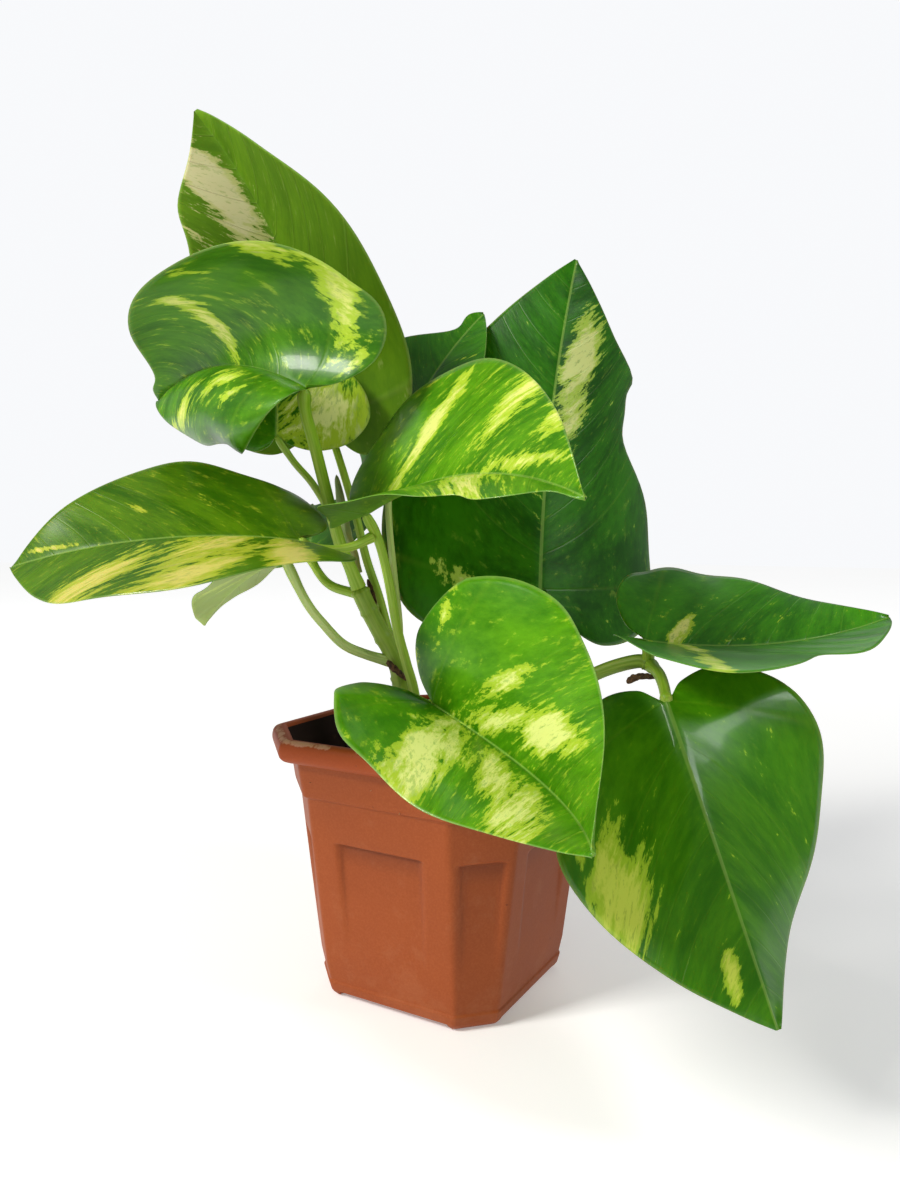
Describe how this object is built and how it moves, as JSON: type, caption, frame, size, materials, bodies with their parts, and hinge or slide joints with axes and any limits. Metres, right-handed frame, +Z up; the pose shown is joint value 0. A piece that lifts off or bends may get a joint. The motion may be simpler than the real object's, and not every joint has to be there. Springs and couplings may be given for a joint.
{
  "type": "potted pothos plant",
  "caption": "Young variegated pothos with arching stalks and heart-shaped leaves, rooted in soil in a square terracotta-coloured nursery pot.",
  "frame": {"origin": "centre of the pot's underside, on the surface that the pot stands on", "axes": "+Z up; X and Y run square to the pot's four side walls, with the plant's front towards -Y and +X"},
  "size_m": [0.2542, 0.1988, 0.3092],
  "materials": {
    "pot_plastic": "moulded satin",
    "potting_soil": "loose and rough",
    "green_stem": "smooth waxy",
    "variegated_leaf": "waxy gloss",
    "dry_sheath": "dry and wrinkled"
  },
  "bodies": {
    "root": {"pot": "pot_plastic", "soil": "potting_soil", "vine_main": "green_stem", "vine_side": "green_stem", "petiole_upper_left": "green_stem", "petiole_top_back": "green_stem", "petiole_behind_upper_left": "green_stem", "petiole_small_middle": "green_stem", "petiole_arched_middle": "green_stem", "petiole_low_left": "green_stem", "petiole_hanging_left": "green_stem", "petiole_behind_stems": "green_stem", "petiole_over_rim": "green_stem", "petiole_tall_right": "green_stem", "petiole_far_right": "green_stem", "petiole_heart_front": "green_stem", "sheath_pale": "green_stem", "leaf_top_back": "variegated_leaf", "leaf_upper_left": "variegated_leaf", "leaf_behind_upper_left": "variegated_leaf", "leaf_small_middle": "variegated_leaf", "leaf_arched_middle": "variegated_leaf", "leaf_tall_right": "variegated_leaf", "leaf_low_left": "variegated_leaf", "leaf_hanging_left": "variegated_leaf", "leaf_behind_stems": "variegated_leaf", "leaf_over_rim": "variegated_leaf", "leaf_far_right": "variegated_leaf", "leaf_heart_front": "variegated_leaf", "sheath_dry_middle": "dry_sheath", "sheath_dry_low": "dry_sheath", "sheath_dry_right": "dry_sheath"}
  },
  "joints": []
}
